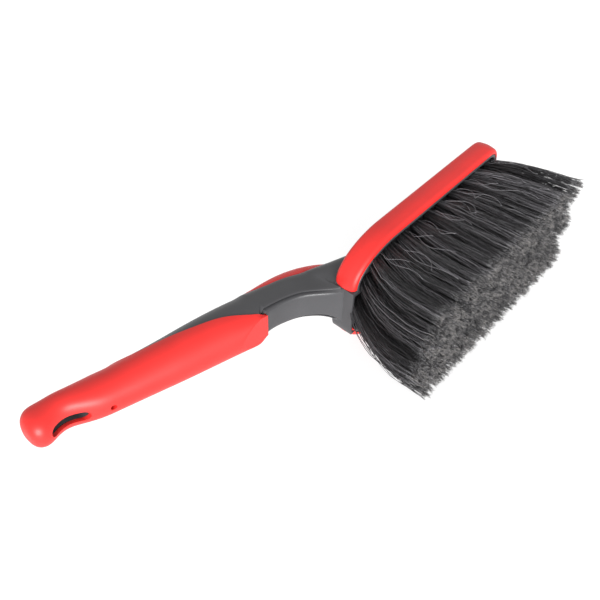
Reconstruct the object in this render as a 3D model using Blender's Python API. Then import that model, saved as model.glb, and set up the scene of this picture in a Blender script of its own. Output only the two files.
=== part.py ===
"""Short-handled wheel brush, modelled as the separate pieces that it is moulded and filled from.

The brush lies on its side, the way it rests on a bench. +X runs from the handle to the toe of the
head, +Y is the back of the brush, so the bristles point to -Y, and +Z is up. The plane z = 0 is the
bench, and the origin is the bottom centre of the whole brush. Inside the script every piece is drawn
about the head datum: the middle of the head, on the plane of its front lip. One empty moves the lot.

Pieces: brush_core (hard handle spine, neck and tuft block in one moulding), handle_grip, thumb_pad
and head_bumper (the three soft overmoulded areas), and one tuft for each drilled hole.
"""

import math

import bmesh
import bpy
import numpy as np

MM = 0.001

# Head
HEAD_LENGTH = 148.4 * MM
HEAD_WIDTH = 76.0 * MM
HEEL_WIDTH = 31.0 * MM  # straight end wall between the two heel corners
HEEL_CORNER = 38.0 * MM  # length of each long heel corner
TOE_CORNER = 14.0 * MM  # length of each blunt toe corner
TOE_SQUARENESS = 2.6
RIM_HEIGHT = 14.6 * MM
BLOCK_BACK = 13.8 * MM  # flat back of the block, a little below the bumper's edge
BUMPER_WALL = 3.6 * MM
BUMPER_ROUNDING = 2.6 * MM
LIP_WALL = 2.0 * MM
RECESS_DEPTH = 4.0 * MM  # the tuft face sits this far behind the lip
GAP = 0.3 * MM  # between pieces that touch
HEEL_INSET = 2.0 * MM  # the heel wall is this much narrower at each end than the gap in the bumper
HEEL_DEPTH = 12.0 * MM  # the heel wall's block reaches this far into the head
BUMPER_ENDS = ((0.9 * MM, 0.9), (1.6 * MM, 0.62))  # (reach, scale) of the rings that round off its ends

# Tufts
TRIM_HEIGHT = 55.8 * MM  # bristle tips in front of the lip
TUFT_RADIUS = 2.8 * MM
HOLE_DEPTH = 8.0 * MM
ROW_PITCH = 12.2 * MM
TUFT_PITCH = 12.2 * MM
TIP_RADIUS = 7.4 * MM  # across the flats of a splayed tuft, halved
SPLAY_ALONG = 1.275  # tips spread by this much along the head
SPLAY_ACROSS = 1.16
SPLAY_BACK = 5.4 * MM  # and lean this far towards the handle
TUFT_SIDES = 6
TUFT_BELLY = (0.45, 0.5)  # at this share of its height a tuft has splayed by this share
# (row, first tuft, last tuft), counted in pitches from the middle of the head
TUFT_ROWS = ((0, -5.0, 5.0), (1, -4.5, 4.5), (-1, -4.5, 4.5), (2, -4.0, 5.0), (-2, -4.0, 5.0))

# Handle and neck: x, back, finger side, half width (all in mm) and squareness of the section
HANDLE = (
    (-251.0, 74.2, 57.2, 10.4, 2.2),
    (-240.0, 76.2, 57.4, 10.8, 2.2),
    (-234.0, 75.9, 60.0, 10.9, 2.4),
    (-228.0, 74.8, 59.2, 11.0, 2.4),
    (-221.0, 73.3, 54.6, 11.1, 2.3),
    (-214.0, 71.9, 50.6, 11.3, 2.1),
    (-200.0, 69.8, 46.4, 11.7, 2.0),
    (-185.0, 67.2, 41.9, 12.3, 2.0),
    (-168.0, 64.2, 37.0, 13.2, 2.0),
    (-150.0, 61.0, 32.4, 13.9, 2.1),
    (-134.0, 57.8, 28.0, 13.9, 2.4),
    (-124.0, 55.6, 26.0, 13.2, 2.7),
    (-116.0, 53.3, 26.0, 12.2, 3.0),
    (-111.6, 51.9, 26.8, 11.4, 3.2),
    (-109.4, 51.3, 28.6, 11.1, 3.4),
    (-99.0, 48.2, 26.6, 11.0, 3.4),
    (-88.0, 45.0, 21.8, 11.2, 3.4),
    (-80.0, 41.4, 15.0, 11.8, 3.4),
    (-76.0, 39.2, 10.0, 13.0, 3.4),
    (-72.6, 37.2, 6.0, 14.2, 3.2),
    (-62.0, 32.0, 5.6, 15.0, 3.0),
    (-50.0, 26.6, 5.6, 14.6, 2.8),
    (-32.0, 20.0, 5.6, 13.0, 2.4),
    (-14.0, 16.0, 5.6, 11.0, 2.2),
    (4.0, 13.2, 5.6, 8.0, 2.0),
)
END_ROUNDING = 11.0 * MM  # radius of the rounded handle end
END_ANGLES = (14, 32, 50, 70)  # where the rounded end has its sections, in degrees
LONG_STRETCH = 13.0  # a stretch longer than this gets one more section in its middle (mm)
SECTION_CLEARANCE = 1.5 * MM  # least distance between the end's sections and the next
SECTION_POINTS = 24
PAST_HANDLE = (-270 * MM, 5 * MM, 100 * MM, 30 * MM)  # lowest x, lowest y, highest y, highest z that cutters reach

# Line between the soft grip and the bare core, seen from the side (mm)
GRIP_LINE = (
    (-214.0, 80.0),
    (-205.0, 69.0),
    (-190.0, 62.4),
    (-164.0, 55.0),
    (-149.0, 48.4),
    (-136.0, 43.0),
    (-127.0, 36.8),
    (-119.0, 31.6),
    (-112.6, 28.6),
    (-111.0, 20.0),
)
GRIP_WALL = 2.5 * MM  # soft layer over the core
GRIP_FRONT = -111.4 * MM
SPINE_END = -243.0 * MM
SPINE_FRONT = -106.0 * MM  # the spine runs on into the neck as far as this

# Hanging slot through the handle end, and the mould pin's mark on the finger side
SLOT_CENTRE = -229.0 * MM
SLOT_LENGTH = 21.0 * MM
SLOT_WIDTH = 8.0 * MM
SLOT_LINING = 1.2 * MM
PIN_MARK_AT = -208.0 * MM
PIN_MARK_RADIUS = 1.5 * MM
PIN_MARK_REACH = 6.0 * MM  # the mark is cut this far up from the finger side

# Thumb pad on the back of the neck: x, crest, half width (mm)
PAD = (
    (-115.0, 51.6, 2.0),
    (-112.0, 53.2, 6.2),
    (-104.0, 52.6, 8.4),
    (-95.0, 50.6, 9.2),
    (-86.0, 48.2, 9.6),
    (-77.0, 45.2, 9.6),
    (-70.0, 41.8, 9.0),
    (-63.0, 37.6, 6.8),
    (-59.5, 33.6, 2.0),
)
PAD_ROOT = 9.0 * MM  # how far the pad's raw shape reaches into the neck before it is cut to fit
PAD_POINTS = 16
PAD_CROWN, PAD_SIDES = 0.8, 0.7  # powers that square up the pad's section

# Neck groove that runs under each side panel
GROOVE_RADIUS = 0.9 * MM
GROOVE_LINE = ((-113.0, 32.0), (-100.0, 29.6), (-89.0, 24.8), (-80.5, 17.8), (-76.5, 14.6))
GROOVE_OUT = 11.2 * MM


def clear_scene():
    for item in list(bpy.data.objects):
        bpy.data.objects.remove(item, do_unlink=True)


def new_collection(name):
    collection = bpy.data.collections.new(name)
    bpy.context.scene.collection.children.link(collection)
    return collection


def material(name, colour, roughness, metallic=0.0):
    finish = bpy.data.materials.new(name)
    finish.use_nodes = True
    shader = finish.node_tree.nodes["Principled BSDF"]
    shader.inputs["Base Color"].default_value = (*colour, 1.0)
    shader.inputs["Roughness"].default_value = roughness
    shader.inputs["Metallic"].default_value = metallic
    return finish


def add_object(name, mesh_data, collection, finish=None):
    item = bpy.data.objects.new(name, mesh_data)
    collection.objects.link(item)
    if finish:
        mesh_data.materials.append(finish)
    return item


def loft(name, rings, collection, finish=None):
    """A closed skin through rings of equal point counts, with a fan at each end."""
    shape = bmesh.new()
    rows = [[shape.verts.new(point) for point in ring] for ring in rings]
    count = len(rows[0])
    for near, far in zip(rows, rows[1:]):
        for k in range(count):
            shape.faces.new((near[k], near[(k + 1) % count], far[(k + 1) % count], far[k]))
    shape.faces.new(rows[0][::-1])
    shape.faces.new(rows[-1])
    bmesh.ops.recalc_face_normals(shape, faces=shape.faces)
    data = bpy.data.meshes.new(name)
    shape.to_mesh(data)
    shape.free()
    data.shade_smooth()
    data.set_sharp_from_angle(angle=math.radians(35))
    return add_object(name, data, collection, finish)


def prism(name, outline, low, high, axis, collection, finish=None):
    """A flat outline pushed from low to high along Y or Z."""
    def place(point, level):
        if axis == "Y":
            return (point[0], level, point[1])
        return (point[0], point[1], level)

    rings = [[place(point, level) for point in outline] for level in (low, high)]
    return loft(name, rings, collection, finish)


def cutter(item):
    item.hide_render = True
    item.display_type = "WIRE"
    return item


def combine(item, operation, other):
    step = item.modifiers.new(f"{operation.lower()} {other.name}", "BOOLEAN")
    step.operation = operation
    step.solver = "EXACT"
    step.object = other
    return step


def bake(item, name=None):
    """The object with its modifiers applied, so that another object can use the result."""
    bpy.context.view_layer.update()
    graph = bpy.context.evaluated_depsgraph_get()
    data = bpy.data.meshes.new_from_object(item.evaluated_get(graph))
    item.modifiers.clear()
    item.data = data
    if name:
        item.name = name
    return item


def smooth(stations, column, x):
    """Catmull-Rom value of one column of the stations at x, both in mm."""
    xs = np.array([row[0] for row in stations])
    values = np.array([row[column] for row in stations])
    slopes = np.gradient(values, xs)
    k = int(np.clip(np.searchsorted(xs, x) - 1, 0, len(xs) - 2))
    span = xs[k + 1] - xs[k]
    t = (x - xs[k]) / span
    rise = values[k + 1] - values[k]
    low = slopes[k] * span
    high = slopes[k + 1] * span
    return values[k] + t * (low + t * (3 * rise - 2 * low - high + t * (low + high - 2 * rise)))


def handle_section(x, inset=0.0, end=HANDLE[0][0] * MM):
    """Superellipse ring across the handle at x, shrunk by inset and closed towards the end."""
    at = x / MM
    back = smooth(HANDLE, 1, at) * MM - inset
    under = smooth(HANDLE, 2, at) * MM + inset
    width = smooth(HANDLE, 3, at) * MM - inset
    power = 2.0 / smooth(HANDLE, 4, at)
    rounding = END_ROUNDING - inset
    closing = 1.0
    if x < end + rounding:
        closing = math.sqrt(max(0.0, 1.0 - (1.0 - (x - end) / rounding) ** 2))
    middle = (back + under) / 2
    depth = (back - under) / 2
    ring = []
    for k in range(SECTION_POINTS):
        angle = 2 * math.pi * k / SECTION_POINTS
        c = math.cos(angle)
        s = math.sin(angle)
        y = middle + closing * depth * math.copysign(abs(c) ** power, c)
        z = closing * width * math.copysign(abs(s) ** power, s)
        ring.append((x, y, z))
    return ring


def handle_loft(name, collection, inset=0.0, start=None, stop=None, finish=None):
    """The handle and neck, or a shrunken copy of a stretch of them."""
    end = HANDLE[0][0] * MM if start is None else start
    rounding = END_ROUNDING - inset
    xs = [end + rounding * (1 - math.cos(math.radians(a))) for a in END_ANGLES]
    last = HANDLE[-1][0] * MM if stop is None else stop
    middles = [(a[0] + b[0]) / 2 for a, b in zip(HANDLE, HANDLE[1:]) if b[0] - a[0] > LONG_STRETCH]
    stations = sorted([row[0] for row in HANDLE] + middles)
    xs += [x * MM for x in stations if xs[-1] + SECTION_CLEARANCE < x * MM < last - 1.0 * MM] + [last]
    rings = [handle_section(x, inset, end) for x in xs]
    return loft(name, rings, collection, finish)


def head_outline(inset=0.0, corner_steps=7):
    """Outline of the head from the heel, round the toe and back, as (x, z), moved in by inset."""
    half = HEAD_WIDTH / 2
    heel_half = HEEL_WIDTH / 2
    left = -HEAD_LENGTH / 2
    right = HEAD_LENGTH / 2
    points = []
    for k in range(corner_steps + 1):
        a = math.radians(90 * k / corner_steps)
        x = left + HEEL_CORNER * (1 - math.cos(a))
        z = heel_half + (half - heel_half) * math.sin(a)
        points.append((x, z))
    power = 2.0 / TOE_SQUARENESS
    toe_steps = corner_steps + 1
    for k in range(toe_steps + 1):
        a = math.radians(90 * k / toe_steps)
        x = right - TOE_CORNER + TOE_CORNER * math.sin(a) ** power
        z = half - TOE_CORNER + TOE_CORNER * math.cos(a) ** power
        points.append((x, z))
    path = np.array(points)
    path = np.vstack([path, (path * (1, -1))[::-1]])
    if not inset:
        return [tuple(point) for point in path]
    ahead = np.roll(path, -1, axis=0) - path
    ahead /= np.linalg.norm(ahead, axis=1)[:, None]
    behind = np.roll(ahead, 1, axis=0)
    bisector = ahead + behind
    bisector /= np.linalg.norm(bisector, axis=1)[:, None]
    inward = np.column_stack([bisector[:, 1], -bisector[:, 0]])
    turn = np.clip(np.sum(ahead * bisector, axis=1), 0.5, 1.0)
    return [tuple(point) for point in path + inward * (inset / turn)[:, None]]


def bumper(name, collection, finish):
    """Soft band round the sides and toe: an open path swept with a rounded bar, ends rounded off."""
    outer = np.array(head_outline())
    inner = np.array(head_outline(BUMPER_WALL))
    r = BUMPER_ROUNDING
    share = r / BUMPER_WALL
    # (share of the wall in from outside, height) round the bar
    turns = [math.radians(a) for a in (0, 30, 60, 90)]
    corner = [(share * (1 - math.sin(a)), r * (1 - math.cos(a))) for a in turns]
    bar = corner + [(u, RIM_HEIGHT - v) for u, v in corner[::-1]]
    bar += [(1.0, RIM_HEIGHT), (1.0, 0.0)]
    rings = []
    for a, b in zip(outer, inner):
        along_bar = [(a + (b - a) * u, v) for u, v in bar]
        rings.append([(point[0], v, point[1]) for point, v in along_bar])

    def end_cap(ring, step):
        """Two smaller rings past an end of the path, which round it off."""
        points = np.array(ring)
        centre = points.mean(axis=0)
        caps = []
        for out, scale in BUMPER_ENDS:
            shifted = centre + (points - centre) * scale
            caps.append([tuple(point) for point in shifted + np.array(step) * out])
        return caps

    first = end_cap(rings[0], (0, 0, -1.0))
    final = end_cap(rings[-1], (0, 0, 1.0))
    return loft(name, first[::-1] + rings + final, collection, finish)


def slot_cutter(name, collection, grow=0.0):
    """A round-ended slot along Y through the handle end."""
    radius = SLOT_WIDTH / 2 + grow
    straight = (SLOT_LENGTH - SLOT_WIDTH) / 2
    outline = []
    for side, centre in ((1, SLOT_CENTRE + straight), (-1, SLOT_CENTRE - straight)):
        for k in range(7):
            a = math.radians(-90 + 180 * k / 6)
            outline.append((centre + side * radius * math.cos(a), side * radius * math.sin(a)))
    _, low, high, _ = PAST_HANDLE
    return cutter(prism(name, outline, low, high, "Y", collection))


def grip_region(name, collection, shift=0.0):
    """A block that covers the soft side of the grip line, moved back from it by shift."""
    line = np.array(GRIP_LINE) * MM
    along = np.gradient(line, axis=0)
    along /= np.linalg.norm(along, axis=1)[:, None]
    out = np.column_stack([-along[:, 1], along[:, 0]])
    line = line + out * shift
    left, low, high, wide = PAST_HANDLE
    points = [tuple(point) for point in line]
    points += [(points[-1][0], low), (left, low), (left, high), (points[0][0], high)]
    return cutter(prism(name, points[::-1], -wide, wide, "Z", collection))


def groove_cutter(name, side, collection):
    """A fine wire along the lower edge of one side panel."""
    curve = bpy.data.curves.new(name, "CURVE")
    curve.dimensions = "3D"
    curve.bevel_depth = GROOVE_RADIUS
    curve.bevel_resolution = 1
    curve.use_fill_caps = True
    spline = curve.splines.new("POLY")
    spline.points.add(len(GROOVE_LINE) - 1)
    for point, (x, y) in zip(spline.points, GROOVE_LINE):
        point.co = (x * MM, y * MM, side * GROOVE_OUT, 1.0)
    wire = bpy.data.objects.new(name, curve)
    collection.objects.link(wire)
    bpy.context.view_layer.update()
    data = bpy.data.meshes.new_from_object(wire.evaluated_get(bpy.context.evaluated_depsgraph_get()))
    bpy.data.objects.remove(wire)
    shape = bmesh.new()
    shape.from_mesh(data)
    bmesh.ops.remove_doubles(shape, verts=shape.verts, dist=1e-6)
    bmesh.ops.recalc_face_normals(shape, faces=shape.faces)
    shape.to_mesh(data)
    shape.free()
    return cutter(add_object(name, data, collection))


def tuft_places():
    """(row, number, x, z) of every tuft hole on the tuft face."""
    places = []
    for row, first, last in TUFT_ROWS:
        count = int(round(last - first)) + 1
        for k in range(count):
            places.append((row, k + 1, (first + k) * TUFT_PITCH, row * ROW_PITCH))
    return places


def tuft_ring(x, z, y, flat_radius, sides=TUFT_SIDES):
    """Regular polygon with a flat towards each neighbour in its row."""
    radius = flat_radius / math.cos(math.pi / sides)
    ring = []
    for k in range(sides):
        a = 2 * math.pi * (k + 0.5) / sides
        ring.append((x + radius * math.cos(a), y, z + radius * math.sin(a)))
    return ring


def tuft(name, x, z, collection, finish):
    """A tuft: straight in its hole, then splayed out to its trimmed tip."""
    face = RECESS_DEPTH
    bottom = face + HOLE_DEPTH - GAP
    tip_x = x * SPLAY_ALONG - SPLAY_BACK
    tip_z = z * SPLAY_ACROSS
    rings = [tuft_ring(x, z, bottom, TUFT_RADIUS), tuft_ring(x, z, face - 1 * MM, TUFT_RADIUS)]
    for share, lean in (TUFT_BELLY, (1.0, 1.0)):
        y = face + (-TRIM_HEIGHT - face) * share
        radius = TUFT_RADIUS + (TIP_RADIUS - TUFT_RADIUS) * lean
        rings.append(tuft_ring(x + (tip_x - x) * lean, z + (tip_z - z) * lean, y, radius))
    return loft(name, rings, collection, finish)


def tuft_holes(collection):
    """All the blind holes as one cutter."""
    shape = bmesh.new()
    face = RECESS_DEPTH
    for _, _, x, z in tuft_places():
        rings = [tuft_ring(x, z, y, TUFT_RADIUS + GAP) for y in (face + HOLE_DEPTH, face - 2 * MM)]
        rows = [[shape.verts.new(point) for point in ring] for ring in rings]
        count = len(rows[0])
        for k in range(count):
            shape.faces.new((rows[0][k], rows[0][(k + 1) % count], rows[1][(k + 1) % count], rows[1][k]))
        shape.faces.new(rows[0][::-1])
        shape.faces.new(rows[1])
    bmesh.ops.recalc_face_normals(shape, faces=shape.faces)
    data = bpy.data.meshes.new("tuft_holes")
    shape.to_mesh(data)
    shape.free()
    return cutter(add_object("tuft_holes", data, collection))


def brush_core(parts, cutters, finish):
    """Handle spine, bare side panels, neck and tuft block: one hard moulding."""
    core = handle_loft("brush_core", parts, finish=finish)
    combine(core, "DIFFERENCE", grip_region("grip_side", cutters, GAP))
    spine = handle_loft("core_spine", cutters, GRIP_WALL + GAP, SPINE_END, SPINE_FRONT)
    combine(spine, "DIFFERENCE", slot_cutter("spine_slot", cutters, SLOT_LINING + GAP))
    combine(core, "UNION", cutter(bake(spine)))

    seat = head_outline(BUMPER_WALL + GAP)
    block = prism("core_block", seat, 0.0, BLOCK_BACK, "Y", cutters)
    heel_half = HEEL_WIDTH / 2 - HEEL_INSET
    left = -HEAD_LENGTH / 2
    right = left + HEEL_DEPTH
    heel = [(left, heel_half), (right, heel_half), (right, -heel_half), (left, -heel_half)]
    combine(block, "UNION", cutter(prism("core_heel", heel, 0.0, BLOCK_BACK - GAP, "Y", cutters)))
    combine(core, "UNION", cutter(bake(block)))

    recess = head_outline(BUMPER_WALL + GAP + LIP_WALL)
    combine(core, "DIFFERENCE", cutter(prism("tuft_recess", recess, -RECESS_DEPTH, RECESS_DEPTH, "Y", cutters)))
    combine(core, "DIFFERENCE", tuft_holes(cutters))
    for side in (1, -1):
        combine(core, "DIFFERENCE", groove_cutter(f"groove_{'near' if side > 0 else 'far'}", side, cutters))
    return core


def handle_grip(parts, cutters, finish):
    """Soft sleeve over the finger side and the whole handle end, with the hanging slot."""
    grip = handle_loft("handle_grip", parts, stop=GRIP_FRONT, finish=finish)
    combine(grip, "INTERSECT", grip_region("grip_area", cutters))
    inside = handle_loft("grip_inside", cutters, GRIP_WALL, SPINE_END - GAP, SPINE_FRONT + END_ROUNDING)
    combine(inside, "DIFFERENCE", slot_cutter("lining_slot", cutters, SLOT_LINING))
    combine(grip, "DIFFERENCE", cutter(bake(inside)))
    combine(grip, "DIFFERENCE", slot_cutter("hanging_slot", cutters))
    mark = [
        (PIN_MARK_AT + PIN_MARK_RADIUS * math.cos(a), PIN_MARK_RADIUS * math.sin(a))
        for a in np.linspace(0, 2 * math.pi, 10, endpoint=False)
    ]
    reach = smooth(HANDLE, 2, PIN_MARK_AT / MM) * MM + PIN_MARK_REACH
    combine(grip, "DIFFERENCE", cutter(prism("pin_mark", mark, PAST_HANDLE[1], reach, "Y", cutters)))
    return grip


def thumb_pad(parts, cutters, finish):
    """Soft thumb rest on the back of the neck, cut to sit on the core."""
    rings = []
    for x, crest, half_width in PAD:
        ring = []
        for k in range(PAD_POINTS):
            a = 2 * math.pi * k / PAD_POINTS
            c = math.cos(a)
            s = math.sin(a)
            depth = PAD_ROOT / 2
            y = crest * MM - depth + depth * math.copysign(abs(c) ** PAD_CROWN, c)
            ring.append((x * MM, y, half_width * MM * math.copysign(abs(s) ** PAD_SIDES, s)))
        rings.append(ring)
    pad = loft("thumb_pad", rings, parts, finish)
    combine(pad, "DIFFERENCE", cutter(handle_loft("pad_seat", cutters, -GAP)))
    return pad


def box_of(items):
    bpy.context.view_layer.update()
    graph = bpy.context.evaluated_depsgraph_get()
    corners = []
    for item in items:
        shown = item.evaluated_get(graph)
        data = shown.to_mesh()
        flat = np.empty(len(data.vertices) * 3)
        data.vertices.foreach_get("co", flat)
        points = flat.reshape(-1, 3)
        corners += [points.min(axis=0), points.max(axis=0)]
        shown.to_mesh_clear()
    return np.min(corners, axis=0), np.max(corners, axis=0)


def main():
    clear_scene()
    parts = new_collection("wheel_brush")
    cutters = new_collection("wheel_brush_cutters")
    hard = material("hard_black_plastic", (0.045, 0.045, 0.048), 0.48)
    soft = material("soft_red_rubber", (0.72, 0.035, 0.028), 0.55)
    bristle = material("black_bristle", (0.035, 0.034, 0.035), 0.6)

    pieces = [
        brush_core(parts, cutters, hard),
        handle_grip(parts, cutters, soft),
        thumb_pad(parts, cutters, soft),
        bumper("head_bumper", parts, soft),
    ]
    letters = {0: "middle", 1: "upper", 2: "top", -1: "lower", -2: "bottom"}
    for row, number, x, z in tuft_places():
        pieces.append(tuft(f"tuft_{letters[row]}_{number:02d}", x, z, parts, bristle))

    low, high = box_of(pieces)
    stand = bpy.data.objects.new("brush_origin", None)
    parts.objects.link(stand)
    stand.location = (-(low[0] + high[0]) / 2, -(low[1] + high[1]) / 2, -low[2])
    for item in list(parts.objects) + list(cutters.objects):
        if item is not stand:
            item.parent = stand


if __name__ == "__main__":
    main()
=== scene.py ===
"""Wheel brush with a cranked two-material handle, shown on a pale studio floor.

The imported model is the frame. Every piece is drawn about the head datum, the middle of the head on
the plane of its front lip, with +X towards the toe, +Y towards the back of the brush and +Z across
it, and is then put where the frame has the head bumper. Sizes are in metres, and the outline tables
are in millimetres.
"""

import math

import bpy
import numpy as np
from bpy.props import FloatProperty, FloatVectorProperty, IntProperty, PointerProperty
from mathutils import Matrix, Vector


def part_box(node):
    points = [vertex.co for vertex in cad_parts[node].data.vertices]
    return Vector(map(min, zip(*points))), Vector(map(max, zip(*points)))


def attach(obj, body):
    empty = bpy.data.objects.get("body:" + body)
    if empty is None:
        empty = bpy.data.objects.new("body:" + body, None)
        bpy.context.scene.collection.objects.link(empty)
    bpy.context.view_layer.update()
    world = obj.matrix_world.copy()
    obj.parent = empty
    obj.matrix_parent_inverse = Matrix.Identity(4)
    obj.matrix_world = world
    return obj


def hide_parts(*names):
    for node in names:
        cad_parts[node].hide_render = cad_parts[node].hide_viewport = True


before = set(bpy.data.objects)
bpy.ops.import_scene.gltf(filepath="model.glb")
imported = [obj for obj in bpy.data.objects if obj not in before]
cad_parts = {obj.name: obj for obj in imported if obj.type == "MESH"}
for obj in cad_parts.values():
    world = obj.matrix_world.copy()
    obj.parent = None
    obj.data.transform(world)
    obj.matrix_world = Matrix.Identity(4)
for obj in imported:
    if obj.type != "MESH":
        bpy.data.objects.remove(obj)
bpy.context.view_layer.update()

bl_info = {
    "name": "Wheel Brush",
    "version": (1, 0, 0),
    "blender": (4, 5, 0),
    "location": "3D View > Sidebar > Wheel Brush",
    "description": "Builds a wheel brush with a soft grip, a bumper and splayed bristle tufts",
    "category": "Add Mesh",
}

MM = 0.001
RIM_LOW, RIM_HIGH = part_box("head_bumper")
DATUM = Vector(((RIM_LOW[0] + RIM_HIGH[0]) / 2, RIM_LOW[1], (RIM_LOW[2] + RIM_HIGH[2]) / 2))
HEAD_LENGTH = RIM_HIGH[0] - RIM_LOW[0]
HEAD_WIDTH = RIM_HIGH[2] - RIM_LOW[2]
RIM_HEIGHT = RIM_HIGH[1] - RIM_LOW[1]
TUFT_NODES = sorted(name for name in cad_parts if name.startswith("tuft_"))
GAP = 0.3 * MM
BENCH = -DATUM.z  # height of the bench about the datum

# Handle and neck, in two stretches that meet at the grip's front: x, back, finger side, half width,
# squareness of the back and of the finger side
HANDLE = (
    (-248.6, 76.4, 57.8, 10.4, 2.8, 2.3),
    (-240.0, 77.8, 57.8, 11.0, 2.8, 2.3),
    (-234.0, 77.0, 59.8, 11.1, 2.4, 2.5),
    (-228.0, 76.2, 59.4, 11.2, 2.4, 2.5),
    (-221.0, 75.0, 55.2, 11.3, 2.3, 2.4),
    (-214.0, 73.6, 51.0, 11.5, 2.2, 2.2),
    (-200.0, 70.6, 46.4, 11.9, 2.1, 2.1),
    (-185.0, 67.5, 41.9, 12.4, 2.0, 2.0),
    (-168.0, 64.2, 37.0, 13.2, 2.0, 2.0),
    (-150.0, 61.0, 32.2, 13.9, 2.1, 2.0),
    (-134.0, 57.8, 28.0, 13.9, 2.2, 2.1),
    (-126.0, 56.0, 25.6, 13.4, 2.3, 2.2),
    (-120.0, 54.4, 23.6, 12.7, 2.4, 2.4),
    (-113.4, 52.5, 21.6, 11.8, 2.6, 2.8),
)
NECK = (
    (-113.4, 52.5, 30.2, 11.8, 2.6, 5.0),
    (-106.0, 50.4, 29.2, 11.2, 2.6, 5.0),
    (-99.0, 48.2, 27.3, 11.1, 2.7, 5.0),
    (-88.0, 45.0, 22.0, 11.2, 2.7, 5.0),
    (-83.0, 42.9, 17.6, 11.3, 2.7, 5.0),
    (-80.0, 41.4, 14.4, 11.4, 2.7, 5.0),
    (-77.5, 40.1, 11.2, 11.7, 2.7, 5.0),
    (-75.8, 39.1, 8.6, 12.2, 2.7, 5.0),
    (-74.6, 38.4, 7.0, 12.8, 2.7, 5.0),
    (-62.0, 32.0, 7.0, 14.6, 2.6, 5.0),
    (-50.0, 26.6, 7.0, 14.6, 2.4, 5.0),
    (-32.0, 20.0, 7.0, 13.0, 2.2, 5.0),
    (-14.0, 16.4, 7.0, 10.5, 2.0, 5.0),
    (6.0, 13.4, 7.0, 7.0, 2.0, 5.0),
)
# Line between the soft grip and the bare core, seen from the side
GRIP_LINE = (
    (-208.0, 80.0),
    (-198.0, 69.6),
    (-187.0, 63.0),
    (-164.0, 55.0),
    (-149.0, 48.4),
    (-136.0, 43.0),
    (-127.0, 36.8),
    (-121.0, 32.4),
    (-117.0, 30.2),
    (-113.8, 28.8),
)
# The flat that the finger side of the grip runs out on: its height at two places
GRIP_FLAT = ((-134.0, 28.0), (-113.8, 28.5))
# The grip's front corners are pinched in to the neck's tongue from here on
PINCH_START = -121.0 * MM
PINCH_WIDTH = 7.2 * MM  # length of the pinch
PINCH = 0.24
# Thumb rest on the back of the neck: x, crest, half width
THUMB_REST = (
    (-117.0, 53.0, 1.5),
    (-112.0, 52.4, 6.2),
    (-104.0, 51.4, 8.6),
    (-95.0, 50.2, 9.4),
    (-86.0, 48.6, 9.3),
    (-77.0, 45.8, 8.8),
    (-70.0, 42.2, 7.8),
    (-63.0, 38.2, 6.2),
    (-56.0, 33.2, 4.0),
    (-49.0, 27.4, 1.2),
)
HEEL_WIDTH = 31.0 * MM
HEEL_CORNER = 38.0 * MM
TOE_CORNER = 14.0 * MM
TOE_SQUARENESS = 2.6
FAR_BAND_END = 22.0 * MM  # the far end of the band stops this far from the middle line
BLOCK_BACK = 13.8 * MM
SPINE_END = -243.0 * MM
SLOT_CENTRE = -229.0 * MM
SLOT_LENGTH = 21.0 * MM
SLOT_WIDTH = 7.0 * MM
SLOT_CUT = (30.0 * MM, 95.0 * MM)  # the slot is cut between these heights, both clear of the handle
SLOT_END_POINTS = 16
END_SQUARENESS = 3.0
END_ROUNDING = 9.5 * MM
PIN_MARK_AT = -208.0 * MM
PIN_MARK_RADIUS = 1.7 * MM
PIN_MARK_DEPTH = 6.0 * MM
PIN_MARK_CUT = 20.0 * MM  # height that its cut starts at, clear of the handle
CORNER_POINTS = 24  # points on each corner of the head's outline


# ---------------------------------------------------------------- settings

def length(name, text, default):
    return FloatProperty(name=name, description=text, default=default, min=0.0, unit="LENGTH", precision=5)


def colour(name, text, default):
    return FloatVectorProperty(
        name=name, description=text, default=default, size=3, min=0.0, max=1.0, subtype="COLOR"
    )


def share(name, text, default):
    return FloatProperty(name=name, description=text, default=default, min=0.0, max=1.0, subtype="FACTOR")


class MouldingSizes(bpy.types.PropertyGroup):
    """Wall and edge sizes of the moulded pieces"""

    grip_wall: length("Grip wall", "Thickness of the soft grip over the core", 2.3 * MM)
    panel_sink: length("Panel sink", "How far the bare panel sits under the grip's skin", 0.35 * MM)
    edge: length("Edge rounding", "Rounding of the soft pieces' cut edges", 0.45 * MM)
    bumper_wall: length("Bumper wall", "Thickness of the soft band round the head", 3.6 * MM)
    bumper_rounding: length("Bumper rounding", "Rounding of the band's outer edges", 3.2 * MM)
    bumper_crown: length("Bumper crown", "How far the band swells at mid height", 0.5 * MM)
    lip_wall: length("Lip wall", "Thickness of the block's lip inside the band", 2.0 * MM)
    recess: length("Recess", "Depth of the tuft face behind the lip", 4.0 * MM)
    hole_depth: length("Hole depth", "Depth of a tuft hole", 8.0 * MM)
    hole_radius: length("Hole radius", "Radius of a tuft hole", 3.1 * MM)


class BristleSizes(bpy.types.PropertyGroup):
    """How each tuft is filled with filaments"""

    strands: IntProperty(name="Strands", description="Filaments in each tuft", default=220, min=40, max=400)
    steps: IntProperty(name="Steps", description="Lengths that a filament is drawn in", default=13, min=4)
    thickness: length("Thickness", "Radius of a filament at its root", 0.21 * MM)
    wave: length("Wave", "How far a filament wanders from its line", 1.0 * MM)
    uneven: length("Uneven", "Spread of the trimmed tips", 1.0 * MM)
    bow: share("Bow", "How much tufts that lean to the handle bow outwards", 0.26)
    fan: share("Fan", "How early a tuft fans out: 1 is evenly, less is sooner", 0.66)
    lock: share("Lock", "How far tips gather into locks", 0.6)
    loose: IntProperty(name="Loose hairs", description="Stray curled hairs over the near side", default=20)


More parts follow.
